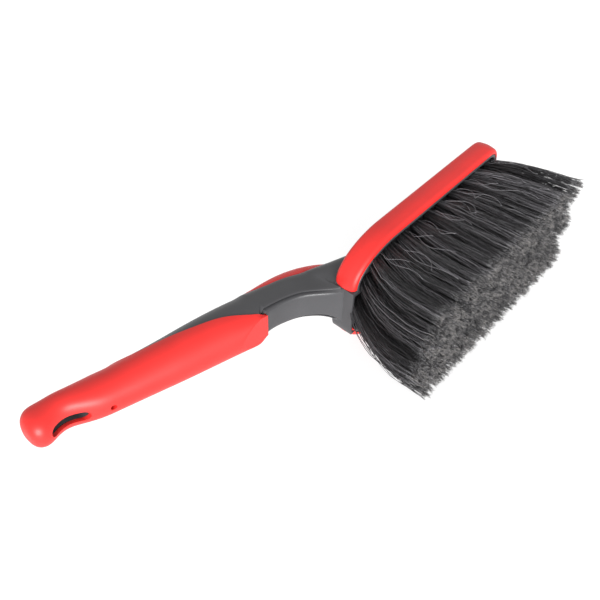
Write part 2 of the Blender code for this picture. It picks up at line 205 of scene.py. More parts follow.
class Finishes(bpy.types.PropertyGroup):
    """Colours and gloss of the three materials"""

    soft: colour("Soft rubber", "Red of the grip, bumper and thumb rest", (0.56, 0.017, 0.014))
    soft_rough: share("Soft roughness", "Roughness of the soft rubber", 0.42)
    hard: colour("Hard plastic", "Black of the core", (0.040, 0.040, 0.043))
    hard_rough: share("Hard roughness", "Roughness of the hard plastic", 0.40)
    strand: colour("Bristle", "Black of the bristles", (0.030, 0.029, 0.031))
    # Painted highlight: this light brown grey on the split tips stands for the light that the tips catch
    tip: colour("Bristle tip", "Dusty brown grey of the split tips", (0.20, 0.188, 0.176))
    strand_rough: share("Bristle roughness", "Roughness of the bristles", 0.42)


class StageSettings(bpy.types.PropertyGroup):
    """Camera and light"""

    lens: FloatProperty(name="Lens", description="Focal length in millimetres", default=48.0, min=10.0)
    key: FloatProperty(name="Key strength", description="Strength of the low soft light", default=8.2)
    softness: FloatProperty(
        name="Key softness",
        description="Angle that the low light fills",
        default=math.radians(40),
        subtype="ANGLE",
    )
    room: FloatProperty(name="Room light", description="Strength of the even white room", default=0.85)
    floor: colour("Floor", "Colour of the floor", (0.38, 0.38, 0.38))
    glow: FloatProperty(name="Floor glow", description="Strength of the floor's own light", default=0.72)


# ---------------------------------------------------------------- shader maths

class Value:
    """One output socket, with Python's operators adding Math nodes."""

    def __init__(self, tree, socket):
        self.tree = tree
        self.socket = socket

    def math(self, operation, other, swap=False):
        node = self.tree.nodes.new("ShaderNodeMath")
        node.operation = operation
        for slot, value in zip(node.inputs, (other, self) if swap else (self, other)):
            if isinstance(value, Value):
                self.tree.links.new(value.socket, slot)
            else:
                slot.default_value = value
        return Value(self.tree, node.outputs[0])

    def __add__(self, other):
        return self.math("ADD", other)

    __radd__ = __add__

    def __sub__(self, other):
        return self.math("SUBTRACT", other)

    def __rsub__(self, other):
        return self.math("SUBTRACT", other, swap=True)

    def __mul__(self, other):
        return self.math("MULTIPLY", other)

    __rmul__ = __mul__

    def __pow__(self, other):
        return self.math("POWER", other)


class Finish:
    """A new material and the few calls that fill its node tree."""

    def __init__(self, name):
        self.material = bpy.data.materials.new(name)
        self.material.use_nodes = True
        self.tree = self.material.node_tree
        self.shader = self.tree.nodes["Principled BSDF"]

    def put(self, value, slot):
        if isinstance(value, Value):
            self.tree.links.new(value.socket, slot)
        else:
            slot.default_value = value

    def node(self, kind, settings=None, output=0, **inputs):
        """Adds a node, sets its settings and then its sockets, and returns one output."""
        node = self.tree.nodes.new(kind)
        for name, value in (settings or {}).items():
            setattr(node, name, value)
        for name, value in inputs.items():
            self.put(value, node.inputs[name.replace("_", " ")])
        return Value(self.tree, node.outputs[output])

    def place(self):
        return self.node("ShaderNodeTexCoord", output="Object")

    def attribute(self, name):
        return self.node("ShaderNodeAttribute", {"attribute_name": name}, output="Fac")

    def noise(self, scale, detail=2.0, roughness=0.5):
        return self.node(
            "ShaderNodeTexNoise", Vector=self.place(), Scale=scale, Detail=detail, Roughness=roughness
        )

    def span(self, value, low, high, to_low=0.0, to_high=1.0):
        """The value's stretch from low to high, spread over to_low to to_high and held there."""
        node = self.tree.nodes.new("ShaderNodeMapRange")
        self.put(value, node.inputs["Value"])
        for name, number in zip(("From Min", "From Max", "To Min", "To Max"), (low, high, to_low, to_high)):
            node.inputs[name].default_value = number
        return Value(self.tree, node.outputs["Result"])

    def blend(self, factor, first, second):
        node = self.tree.nodes.new("ShaderNodeMix")
        node.data_type = "RGBA"
        self.put(factor, node.inputs["Factor"])
        for slot, value in ((node.inputs[6], first), (node.inputs[7], second)):
            self.put(value if isinstance(value, Value) else (*value, 1.0), slot)
        return Value(self.tree, node.outputs[2])

    def bump(self, height, strength, distance):
        return self.node(
            "ShaderNodeBump", Height=height, Strength=strength, Distance=distance, output="Normal"
        )

    def surface(self, **sockets):
        for name, value in sockets.items():
            self.put(value, self.shader.inputs[name.replace("_", " ")])
        return self.material


def tinted(rgb, factor):
    return tuple(min(1.0, part * factor) for part in rgb)


def soft_rubber(finishes):
    """Satin red rubber: a fine moulded grain with slow drifts of tone and gloss."""
    finish = Finish("soft_red_rubber")
    drift = finish.noise(38.0, 3.0)
    grain = finish.noise(2600.0, 2.0, 0.6)
    red = tuple(finishes.soft)
    colour_now = finish.blend(finish.span(drift, 0.3, 0.7), tinted(red, 0.93), tinted(red, 1.05))
    rough = finish.span(drift, 0.3, 0.7, finishes.soft_rough - 0.04, finishes.soft_rough + 0.05)
    return finish.surface(
        Base_Color=colour_now,
        Roughness=rough + grain * 0.05,
        Specular_IOR_Level=0.4,
        Normal=finish.bump(grain, 0.35, 0.00006),
    )


def hard_plastic(finishes):
    """Black moulded plastic with a fine spark-eroded grain."""
    finish = Finish("hard_black_plastic")
    drift = finish.noise(30.0, 3.0)
    grain = finish.noise(1900.0, 3.0, 0.65)
    black = tuple(finishes.hard)
    colour_now = finish.blend(finish.span(drift, 0.3, 0.7), tinted(black, 0.85), tinted(black, 1.2))
    rough = finish.span(drift, 0.3, 0.7, finishes.hard_rough - 0.03, finishes.hard_rough + 0.06)
    return finish.surface(
        Base_Color=colour_now,
        Roughness=rough + grain * 0.06,
        Normal=finish.bump(grain, 0.4, 0.00007),
    )


def bristle_fibre(finishes):
    """Black filament, each with its own tone; on the lighter ones a painted highlight of brown grey covers
    the split tip.
    """
    finish = Finish("black_bristle")
    along = finish.attribute("along")
    tone = finish.attribute("tone")
    black = tuple(finishes.strand)
    body = finish.blend(tone**2.2, tinted(black, 0.4), tinted(black, 9.0))
    # Painted highlight: the ends and split hairs of the lighter filaments blend to the tip colour, for the
    # light the split tips catch
    tip_highlight = finish.span(along, 0.95, 1.0) * finish.span(tone, 0.35, 0.75)
    return finish.surface(
        Base_Color=finish.blend(tip_highlight, body, tuple(finishes.tip)),
        Roughness=finish.span(tone, 0.0, 1.0, finishes.strand_rough - 0.08, finishes.strand_rough + 0.1),
    )


def shared(maker):
    """The material that maker makes, made once."""
    key = f"made_{maker.__name__}"
    name = bpy.context.scene.get(key)
    if not name:
        name = maker(bpy.context.scene.brush_finishes).name
        bpy.context.scene[key] = name
    return bpy.data.materials[name]


# ---------------------------------------------------------------- shapes

def smooth(stations, column, x):
    """Value at x of one column of the stations, on a smooth cubic through them, in their own unit."""
    xs = np.array([row[0] for row in stations])
    values = np.array([row[column] for row in stations])
    slopes = np.gradient(values, xs)
    k = int(np.clip(np.searchsorted(xs, x) - 1, 0, len(xs) - 2))
    span = xs[k + 1] - xs[k]
    t = min(1.0, max(0.0, (x - xs[k]) / span))
    rise = values[k + 1] - values[k]
    low = slopes[k] * span
    high = slopes[k + 1] * span
    return values[k] + t * (low + t * (3 * rise - 2 * low - high + t * (low + high - 2 * rise)))


def section_facts(x):
    """(back, finger side, half width, back squareness, finger squareness) of the handle at x."""
    at = x / MM
    table = HANDLE if at < HANDLE[-1][0] else NECK
    facts = [smooth(table, column, at) for column in range(1, 6)]
    return facts[0] * MM, facts[1] * MM, facts[2] * MM, facts[3], facts[4]


def section_point(x, angle, inset=0.0, closing=1.0):
    """Point of the handle's skin at x. The angle runs from 0 on the back to pi on the finger side."""
    back, under, width, back_power, under_power = section_facts(x)
    middle = (back + under) / 2
    depth = (back - under) / 2 - inset
    power = 2.0 / (back_power if math.cos(angle) > 0 else under_power)
    c = math.cos(angle)
    s = math.sin(angle)
    y = middle + closing * depth * math.copysign(abs(c) ** power, c)
    z = closing * (width - inset) * math.copysign(abs(s) ** power, s)
    return y, z


def grip_flat(x):
    (x0, y0), (x1, y1) = GRIP_FLAT
    return (y0 + (x / MM - x0) * (y1 - y0) / (x1 - x0)) * MM


def grip_angle(x):
    """Angle on the section where the grip line crosses it: 0 where the grip goes all the way round."""
    if x / MM <= GRIP_LINE[0][0]:
        return 0.0
    height = smooth(GRIP_LINE, 1, min(x / MM, GRIP_LINE[-1][0])) * MM
    low = 0.0
    high = math.pi
    for _ in range(30):
        middle = (low + high) / 2
        if section_point(x, middle)[0] > height:
            low = middle
        else:
            high = middle
    return low if low > 0.02 else 0.0


def end_closing(x, end, rounding):
    """How much the section has opened at x, for a round end of that radius at end."""
    if x >= end + rounding:
        return 1.0
    left = 1.0 - (x - end) / rounding
    return max(0.0, 1.0 - left**END_SQUARENESS) ** (1 / END_SQUARENESS)


def head_outline(inset=0.0):
    """Outline of the head from the near heel round the toe to the far heel, as an array of (x, z)."""
    half = HEAD_WIDTH / 2
    heel_half = HEEL_WIDTH / 2
    left = -HEAD_LENGTH / 2
    points = []
    for a in np.linspace(0.0, math.pi / 2, CORNER_POINTS):
        x = left + HEEL_CORNER * (1 - math.cos(a))
        points.append((x, heel_half + (half - heel_half) * math.sin(a)))
    last = points[-1][0]
    toe = HEAD_LENGTH / 2 - TOE_CORNER
    points += [(x, half) for x in np.linspace(last, toe, 22)[1:-1]]
    power = 2.0 / TOE_SQUARENESS
    for a in np.linspace(0.0, math.pi / 2, CORNER_POINTS):
        x = toe + TOE_CORNER * math.sin(a) ** power
        points.append((x, half - TOE_CORNER + TOE_CORNER * math.cos(a) ** power))
    tip = points[-1]
    points += [(tip[0], z) for z in np.linspace(tip[1], 0.0, 8)[1:]]
    near = np.array(points)
    path = np.vstack([near, (near * (1, -1))[::-1][1:]])
    if not inset:
        return path
    step = np.gradient(path, axis=0)
    step /= np.linalg.norm(step, axis=1)[:, None]
    return path + np.column_stack([step[:, 1], -step[:, 0]]) * inset


def place(item, nodes, maker):
    """Puts a finished piece where the frame has the head, and joins it to the frame."""
    item.data.transform(Matrix.Translation(DATUM))
    item.data.materials.clear()
    item.data.materials.append(shared(maker))
    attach(item, "root")
    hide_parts(*nodes)


def new_piece(name, points, faces):
    """An object from points and faces, selected and active."""
    data = bpy.data.meshes.new(name)
    data.from_pydata([tuple(point) for point in points], [], faces)
    data.update()
    item = bpy.data.objects.new(name, data)
    bpy.context.scene.collection.objects.link(item)
    pick(item)
    return item


def pick(item):
    """Makes this the one selected and active object."""
    bpy.ops.object.select_all(action="DESELECT")
    item.select_set(True)
    bpy.context.view_layer.objects.active = item


def loft(name, rings):
    """A skin through rings of equal point counts, with its ends filled."""
    count = len(rings[0])
    points = [point for ring in rings for point in ring]
    faces = []
    for row in range(len(rings) - 1):
        for k in range(count):
            near = row * count
            ahead = (k + 1) % count
            faces.append((near + k, near + ahead, near + count + ahead, near + count + k))
    last = (len(rings) - 1) * count
    faces.append(tuple(range(count))[::-1])
    faces.append(tuple(range(last, last + count)))
    item = new_piece(name, points, faces)
    face_outwards(item)
    return item


def face_outwards(item):
    pick(item)
    bpy.ops.object.mode_set(mode="EDIT")
    bpy.ops.mesh.select_all(action="SELECT")
    bpy.ops.mesh.remove_doubles(threshold=1e-6)
    bpy.ops.mesh.normals_make_consistent(inside=False)
    bpy.ops.object.mode_set(mode="OBJECT")


def finish_modifiers(item):
    pick(item)
    for step in list(item.modifiers):
        bpy.ops.object.modifier_apply(modifier=step.name)


def cut(item, operation, tool):
    """Joins or cuts item with tool, and removes tool."""
    step = item.modifiers.new(operation, "BOOLEAN")
    step.operation = operation
    step.solver = "EXACT"
    step.object = tool
    finish_modifiers(item)
    bpy.data.objects.remove(tool, do_unlink=True)


def shade(item, degrees=38.0):
    pick(item)
    bpy.ops.object.shade_smooth_by_angle(angle=math.radians(degrees))


def slot_outline():
    """Round-ended outline of the hanging slot, as (x, z)."""
    radius = SLOT_WIDTH / 2
    straight = (SLOT_LENGTH - SLOT_WIDTH) / 2
    points = []
    for side, centre in ((1, SLOT_CENTRE + straight), (-1, SLOT_CENTRE - straight)):
        for a in np.linspace(-math.pi / 2, math.pi / 2, SLOT_END_POINTS):
            points.append((centre + side * radius * math.cos(a), side * radius * math.sin(a)))
    return points


def pin_mark():
    """Tool for the small round hole that a mould pin left in the finger side."""
    turns = np.linspace(0, 2 * math.pi, 24, endpoint=False)
    mark = [(PIN_MARK_AT + PIN_MARK_RADIUS * math.cos(a), PIN_MARK_RADIUS * math.sin(a)) for a in turns]
    return prism("pin_mark", mark, PIN_MARK_CUT, section_facts(PIN_MARK_AT)[1] + PIN_MARK_DEPTH)


def prism(name, outline, low, high):
    """An (x, z) outline pushed along Y from low to high."""
    return loft(name, [[(x, y, z) for x, z in outline] for y in (low, high)])


# ---------------------------------------------------------------- the core moulding

HALF_POINTS = 40  # points on half of a core section
HIDDEN_POINTS = 18  # of those, under the soft grip
SIDE_POINTS = 7  # up the side of a bare section
SPINE_RINGS = 92
NECK_RINGS = 56
ROOT_RINGS = 40
SPINE_ROUNDING = 8.0 * MM
SPINE_REACH = 0.3 * MM  # the sunk part of the spine runs this far past the grip line
PANEL_FADE = 14.0 * MM  # the bare panel comes up flush over this length
CORE_FLAT_START = -136.0 * MM  # from here the spine follows the grip's flat
NECK_START = -113.4 * MM
NECK_BLEND = 5.0 * MM  # length between the spine's last section and the neck's first
GROOVE_END = -74.9 * MM
GROOVE_FADE = 1.2 * MM  # the groove runs out over this length
HEEL_START = -84.0 * MM  # from here the neck flares into the heel wall
HEEL_FLARE = 0.13  # share that the foot widens by
HEEL_WALL_INSET = 1.7 * MM  # the heel wall is this much narrower at each end than the heel
LIP_ROUNDING = 0.5 * MM
NECK_FILLET = 4.5 * MM  # where the neck stands on the block
NECK_FILLET_RUN = 10.0 * MM  # the fillet grows to that over this length
SMALLEST_FILLET = 0.05 * MM  # keeps the fillet's points apart where it starts
BLOCK_OVERLAP = 0.03 * MM  # the fillet's foot is this far inside the block
BLOCK_START = -HEAD_LENGTH / 2 - 0.3 * MM  # from here the section stands on the block
# Foot of the neck's half section: a flat tongue, a groove beside it and the side panel's lower edge,
# as (height over the tongue in mm, share of the half width)
NECK_FOOT = (
    (0.00, 0.000),
    (0.00, 0.250),
    (0.00, 0.450),
    (0.04, 0.620),
    (0.20, 0.700),
    (0.55, 0.755),
    (1.20, 0.790),
    (3.40, 0.805),
    (4.00, 0.830),
    (4.00, 0.870),
    (3.50, 0.895),
    (2.40, 0.905),
    (1.95, 0.920),
    (1.90, 0.945),
    (2.20, 0.965),
    (2.90, 0.982),
)
# Foot without the groove: the flat's share of the half width, the rounding's share and its rise in mm
PLAIN_FOOT = (0.62, 0.35, 2.3)


def side_and_back(x, start_y, start_share, count):
    """Points up the side and over the back, from a start on the side."""
    back, under, width, back_power, _ = section_facts(x)
    middle = max((back + under) / 2, start_y + 1.0 * MM)
    points = []
    for k in range(1, SIDE_POINTS + 1):
        t = k / SIDE_POINTS
        y = start_y + (middle - start_y) * t
        points.append((y, width * (start_share + (1.0 - start_share) * math.sin(t * math.pi / 2))))
    power = 2.0 / back_power
    for k in range(1, count - SIDE_POINTS + 1):
        a = math.pi / 2 * (1 - k / (count - SIDE_POINTS))
        points.append((middle + (back - middle) * math.cos(a) ** power, width * math.sin(a) ** power))
    return points


def neck_half(x):
    """Half section of the bare neck: flat finger side, groove, ridge, side and back."""
    _, under, width, _, _ = section_facts(x)
    fade = min(1.0, max(0.0, (GROOVE_END - x) / GROOVE_FADE))
    flare = max(0.0, (x - HEEL_START) / (BLOCK_START - HEEL_START))
    flat, rounding, lift = PLAIN_FOOT
    points = []
    for rise, across in NECK_FOOT:
        plain = lift * max(0.0, across - flat) ** 2 / rounding**2
        height = (rise * fade + plain * (1 - fade)) * MM
        spread = 1.0 + HEEL_FLARE * flare**2
        points.append((under + height, width * across * spread))
    start_y = points[-1][0]
    start = points[-1][1] / width
    return points + side_and_back(x, start_y, start, HALF_POINTS - len(points))


def block_half(x):
    """Half section over the block: a foot inside the block, a fillet, then the side and back."""
    back, under, width, _, _ = section_facts(x)
    base = BLOCK_BACK - BLOCK_OVERLAP
    grow = min(1.0, max(0.0, (x - BLOCK_START) / NECK_FILLET_RUN))
    fillet = min(NECK_FILLET * grow, max(0.0, (back - base) * 0.7)) + SMALLEST_FILLET
    points = [(under, share_across * (width + fillet)) for share_across in np.linspace(0.0, 1.0, 6)]
    points += [((under + base) / 2, width + fillet)]
    for a in np.linspace(0.0, math.pi / 2, 8):
        points.append((base + fillet * (1 - math.cos(a)), width + fillet * (1 - math.sin(a))))
    return points + side_and_back(x, base + fillet, 1.0, HALF_POINTS - len(points))


def spine_half(x, sizes):
    """Half section inside the grip: sunk under the soft skin, and nearly flush in the bare panel."""
    closing = end_closing(x, SPINE_END, SPINE_ROUNDING)
    sunk = sizes.grip_wall + GAP
    angle = grip_angle(x)
    reach = SPINE_REACH / section_facts(x)[2]
    points = []
    for k in range(HIDDEN_POINTS):
        a = math.pi + (angle + reach - math.pi) * k / (HIDDEN_POINTS - 1)
        y, z = section_point(x, a, sunk, closing)
        if x > CORE_FLAT_START:
            y = max(y, grip_flat(x) + sunk)
        points.append((y, z))
    fade = min(1.0, max(0.0, (NECK_START - x) / PANEL_FADE))
    inset = sizes.panel_sink * fade if angle else sunk
    for k in range(HALF_POINTS - HIDDEN_POINTS):
        a = (angle + reach) * (1 - k / (HALF_POINTS - HIDDEN_POINTS - 1))
        points.append(section_point(x, a, inset, closing))
    return points


def full_ring(x, half):
    """The half section, bottom to top, and its mirror image, top to bottom."""
    near = [(x, y, z) for y, z in half]
    far = [(x, y, -z) for y, z in half[1:-1]]
    return near + far[::-1]


def neck_and_spine(sizes):
    """The handle spine, neck and the root of the neck on the block, as one closed skin."""
    rings = []
    for x in np.linspace(SPINE_END + 0.2 * MM, NECK_START - NECK_BLEND, SPINE_RINGS):
        rings.append(full_ring(x, spine_half(x, sizes)))
    for x in np.linspace(NECK_START, BLOCK_START, NECK_RINGS):
        rings.append(full_ring(x, neck_half(x)))
    for x in np.linspace(BLOCK_START + 0.2 * MM, NECK[-1][0] * MM, ROOT_RINGS):
        rings.append(full_ring(x, block_half(x)))
    return loft("core_moulding", rings)


def band_gap(skin):
    """Which points of the head's outline the band's far end leaves bare."""
    return (skin[:, 1] < 0) & (-skin[:, 1] < FAR_BAND_END) & (skin[:, 0] < 0)


def block_outline(sizes, inset):
    """The block seen from the front: the head's outline inside the band, out to the heel wall."""
    seat = head_outline(sizes.bumper_wall + GAP + inset)
    bare = band_gap(head_outline())
    seat[bare] = head_outline(inset)[bare]
    half = HEEL_WIDTH / 2 - HEEL_WALL_INSET - inset
    wall = -HEAD_LENGTH / 2 + inset
    return np.vstack([seat, [(wall, -half), (wall, half), (seat[0][0], half)]])


def tuft_block(sizes):
    """The block, with a rounded lip round its recessed tuft face."""
    outer = block_outline(sizes, 0.0)
    inner = block_outline(sizes, sizes.lip_wall)
    rings = []
    for across, height in (
        (0.0, BLOCK_BACK),
        (0.0, LIP_ROUNDING),
        (0.08, 0.3 * LIP_ROUNDING),
        (0.22, 0.0),
        (0.78, 0.0),
        (0.92, 0.3 * LIP_ROUNDING),
        (1.0, LIP_ROUNDING),
        (1.0, sizes.recess),
    ):
        ring = outer + (inner - outer) * across
        rings.append([(x, height, z) for x, z in ring])
    return loft("tuft_block", rings)


def tuft_places():
    """{node: (root x, root z, tip x, tip z, tip height)} of every tuft, about the datum."""
    places = {}
    for name in TUFT_NODES:
        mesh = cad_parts[name].data
        flat = np.empty(len(mesh.vertices) * 3)
        mesh.vertices.foreach_get("co", flat)
        points = flat.reshape(-1, 3) - np.array(DATUM)
        root = points[points[:, 1] > points[:, 1].max() - 1e-5].mean(axis=0)
        tips = points[points[:, 1] < points[:, 1].min() + 1e-5]
        tip = (tips.min(axis=0) + tips.max(axis=0)) / 2
        places[name] = (root[0], root[2], tip[0], tip[2], tip[1])
    return places


def hole_tools(sizes, places):
    """All the tuft holes as one object of separate short cylinders."""
    tool = None
    for x, z, _, _, _ in places.values():
        bpy.ops.object.select_all(action="DESELECT")
        bpy.ops.mesh.primitive_cylinder_add(
            vertices=16,
            radius=sizes.hole_radius,
            depth=sizes.hole_depth + 2 * MM,
            location=(x, sizes.recess + sizes.hole_depth / 2 - 1 * MM, z),
            rotation=(math.pi / 2, 0, 0),
        )
        item = bpy.context.active_object
        if tool:
            tool.select_set(True)
            bpy.context.view_layer.objects.active = tool
            bpy.ops.object.join()
        else:
            tool = item
    pick(tool)
    bpy.ops.object.transform_apply()
    return tool


class WHEEL_BRUSH_OT_core(bpy.types.Operator):
    """Add the hard core: handle spine, bare side panels, neck and tuft block"""

    bl_idname = "wheel_brush.core"
    bl_label = "Core Moulding"

    def execute(self, context):
        sizes = context.scene.brush_moulding
        core = neck_and_spine(sizes)
        cut(core, "DIFFERENCE", prism("spine_slot", slot_outline(), *SLOT_CUT))
        cut(core, "DIFFERENCE", pin_mark())
        block = tuft_block(sizes)
        cut(block, "DIFFERENCE", hole_tools(sizes, tuft_places()))
        cut(core, "UNION", block)
        shade(core)
        place(core, ["brush_core"], hard_plastic)
        return {"FINISHED"}


# ---------------------------------------------------------------- the soft pieces

GRIP_SHARES = (0.0, 0.125, 0.25, 0.385, 0.5, 0.615, 0.75, 0.875, 1.0)  # round half of a section
CAGE_SWELL = 1.018  # makes up for what subdivision takes off a round section
GRIP_END = HANDLE[0][0] * MM
GRIP_FLAT_START = -140.0 * MM
PINCH_HEIGHT = 4.0 * MM  # the pinch has died out this far over the flat
PINCH_BLEND = 3.0 * MM
THUMB_SINK = 0.7 * MM  # the thumb rest's underside lies this far inside the core
THUMB_SWELL = 0.25 * MM  # least height of its crest over the core
THUMB_EDGE = 0.05 * MM
THUMB_POINTS = 28
THUMB_RINGS = 64
TONGUE_REACH = 2.2 * MM  # length of the bumper's rounded ends
TONGUE_TALL = 0.62  # how much lower the end of a tongue is
TONGUE_THICK = 0.45  # how much thinner it is
GRIP_STATIONS = (
    -248.5, -248.0, -246.8, -244.8, -242.4, -239.6, -236.2, -232.6, -229.0, -225.4, -221.8, -218.1,
    -214.0, -209.0, -203.0, -196.0, -188.0, -179.0, -170.0, -161.0, -152.0, -144.0, -137.0, -131.5,
    -127.5, -124.0, -121.0, -118.5, -116.0, -113.8,
)


def grip_ring(x):
    """Cage points round the grip at x, from the near edge over the finger side to the far edge."""
    angle = grip_angle(x)
    closing = end_closing(x, GRIP_END, END_ROUNDING)
    near = []
    for part in GRIP_SHARES:
        y, z = section_point(x, angle + (math.pi - angle) * part, 0.0, closing * CAGE_SWELL)
        near.append((x, y, z))
    near[-1] = (x, near[-1][1], 0.0)
    if not angle:
        near[0] = (x, near[0][1], 0.0)
    far = [(px, py, -pz) for px, py, pz in near[:-1]]
    return near + far[::-1]


def grip_cage():
    """The grip's cage, open along the grip line and at its front."""
    rings = [grip_ring(x * MM) for x in GRIP_STATIONS]
    count = len(rings[0])
    faces = [tuple(range(count - 1))]
    for row in range(len(rings) - 1):
        for k in range(count - 1):
            near = row * count
            faces.append((near + k, near + count + k, near + count + k + 1, near + k + 1))
    return new_piece("grip_sleeve", [point for ring in rings for point in ring], faces)


def shape_grip_front(grip):
    """Lays the finger side's front on its flat, and pinches its corners in to the neck's tongue."""
    for vertex in grip.data.vertices:
        x, y, _ = vertex.co
        if x > GRIP_FLAT_START:
            flat = grip_flat(x)
            vertex.co.y = max(y, flat)
            t = min(1.0, max(0.0, (x - PINCH_START) / PINCH_WIDTH))
            low = min(1.0, max(0.0, (flat + PINCH_HEIGHT - y) / PINCH_BLEND))
            vertex.co.z *= 1 - PINCH * low * t * t * (3 - 2 * t)


class WHEEL_BRUSH_OT_grip(bpy.types.Operator):
    """Add the soft grip sleeve with its scooped end, hanging slot and mould pin mark"""

    bl_idname = "wheel_brush.grip"
    bl_label = "Grip Sleeve"

    def execute(self, context):
        sizes = context.scene.brush_moulding
        grip = grip_cage()
        face_outwards(grip)
        skin = grip.modifiers.new("skin", "SUBSURF")
        skin.levels = skin.render_levels = 2
        finish_modifiers(grip)
        shape_grip_front(grip)
        wall = grip.modifiers.new("wall", "SOLIDIFY")
        wall.thickness = sizes.grip_wall
        wall.offset = -1.0
        wall.use_even_offset = False
        finish_modifiers(grip)
        cut(grip, "DIFFERENCE", prism("hanging_slot", slot_outline(), *SLOT_CUT))
        cut(grip, "DIFFERENCE", pin_mark())
        edge = grip.modifiers.new("edge", "BEVEL")
        edge.width = sizes.edge
        edge.segments = 3
        edge.limit_method = "ANGLE"
        edge.angle_limit = math.radians(55)
        finish_modifiers(grip)
        shade(grip, 50)
        place(grip, ["handle_grip"], soft_rubber)
        return {"FINISHED"}


class WHEEL_BRUSH_OT_thumb_rest(bpy.types.Operator):
    """Add the soft thumb rest on the back of the neck"""

    bl_idname = "wheel_brush.thumb_rest"
    bl_label = "Thumb Rest"

    def execute(self, context):
        rings = []
        for x in np.linspace(THUMB_REST[0][0], THUMB_REST[-1][0], THUMB_RINGS):
            crest = smooth(THUMB_REST, 1, x) * MM
            half = max(0.8, smooth(THUMB_REST, 2, x)) * MM
            back, _, width, _, _ = section_facts(x * MM)
            reach = math.asin(min(0.97, half / width))
            top = []
            floor = []
            swell = max(0.0, crest - back) + THUMB_SWELL
            for part in np.linspace(-1.0, 1.0, THUMB_POINTS):
                angle = part * reach
                y, z = section_point(x * MM, abs(angle))
                z = math.copysign(z, part)
                lift = swell * (1 - abs(part) ** 2.6) ** 0.75 + THUMB_EDGE
                top.append((x * MM, y + lift, z))
                floor.append((x * MM, y - THUMB_SINK, z * 0.985))
            rings.append(top + floor[::-1])
        pad = loft("thumb_rest", rings)
        shade(pad, 45)
        place(pad, ["thumb_pad"], soft_rubber)
        return {"FINISHED"}


def bumper_bar(sizes):
    """The band's section as (share of the wall from outside, height)."""
    r = sizes.bumper_rounding
    wall = sizes.bumper_wall
    turns = np.linspace(0.0, math.pi / 2, 8)
    low = [(r / wall * (1 - math.sin(a)), r * (1 - math.cos(a))) for a in turns]
    outside = []
    for part in np.linspace(0.0, 1.0, 9)[1:-1]:
        height = r + (RIM_HEIGHT - 2 * r) * part
        outside.append((-sizes.bumper_crown / wall * math.sin(math.pi * part), height))
    high = [(u, RIM_HEIGHT - v) for u, v in low[::-1]]
    heights = (RIM_HEIGHT - 0.02 * MM, RIM_HEIGHT - 0.4 * MM, RIM_HEIGHT / 2, 0.4 * MM, 0.02 * MM)
    inside = list(zip((0.96, 1.0, 1.0, 1.0, 0.96), heights))
    return low + outside + high + inside


def tongue(ring, away):
    """Rings past an end of the band's path, shrinking to a rounded tongue."""
    points = np.array(ring)
    centre = points.mean(axis=0)
    caps = []
    for turn in np.linspace(0.0, math.pi / 2, 8)[1:-1]:
        tall = 1.0 - (1.0 - math.cos(turn)) * TONGUE_TALL
        thick = 1.0 - (1.0 - math.cos(turn)) * TONGUE_THICK
        step = np.array((0, away * TONGUE_REACH * math.sin(turn), 0))
        caps.append([tuple(p) for p in centre + (points - centre) * (thick, thick, tall) + step])
    return caps


class WHEEL_BRUSH_OT_bumper(bpy.types.Operator):
    """Add the soft band round the sides and toe of the head"""

    bl_idname = "wheel_brush.bumper"
    bl_label = "Head Bumper"

    def execute(self, context):
        sizes = context.scene.brush_moulding
        outer = head_outline(sizes.bumper_crown)
        inner = head_outline(sizes.bumper_wall)
        bar = bumper_bar(sizes)
        rings = []
        banded = ~band_gap(head_outline())
        for a, b in zip(outer[banded], inner[banded]):
            rings.append([(*(a + (b - a) * u), v) for u, v in bar])
        rings = tongue(rings[0], -1)[::-1] + rings + tongue(rings[-1], 1)
        band = loft("bumper_band", [[(x, v, z) for x, z, v in ring] for ring in rings])
        shade(band, 50)
        place(band, ["head_bumper"], soft_rubber)
        return {"FINISHED"}


# ---------------------------------------------------------------- the bristles

ROOT_RADIUS = 2.6 * MM  # of a tuft in its hole
ROOT_DEPTH = 2.5 * MM  # a filament starts this far down the hole
TIP_RADIUS = 8.6 * MM  # of a tuft at its tips
TIP_SCATTER = 0.9 * MM
LOCKS = 13  # in each tuft
TRIM = 1.2 * MM  # tips are trimmed about this far inside the end of the frame's tuft, before they split
FAN_SPREAD = 0.12
FAN_LIMITS = (0.42, 1.2)
# Waves that a filament is made of: share of the whole wave, least and most turns
WAVES = ((0.65, (0.7, 1.6)), (0.4, (1.8, 3.4)), (0.2, (4.0, 6.0)))
SPLITS = 2  # hairs on each tip
SPLIT_SPREAD = 0.42 * MM
SPLIT_LENGTH = (1.2, 2.6)  # mm
HAIR_STEPS = 26
HAIR_RADIUS = 0.11 * MM
HAIR_ENDS = (0.35, 0.95)  # share of the tuft's length
HAIR_TURNS = (0.5, 1.3)
HAIR_SWING = (2.5, 6.0)  # mm
HAIR_ROOT = 2.4 * MM  # from the middle of the tuft
HAIR_OUT = 3.0 * MM  # how far a loose hair stands off the tuft near its root
HAIR_RISE = 3.5 * MM  # and how much further at its tip

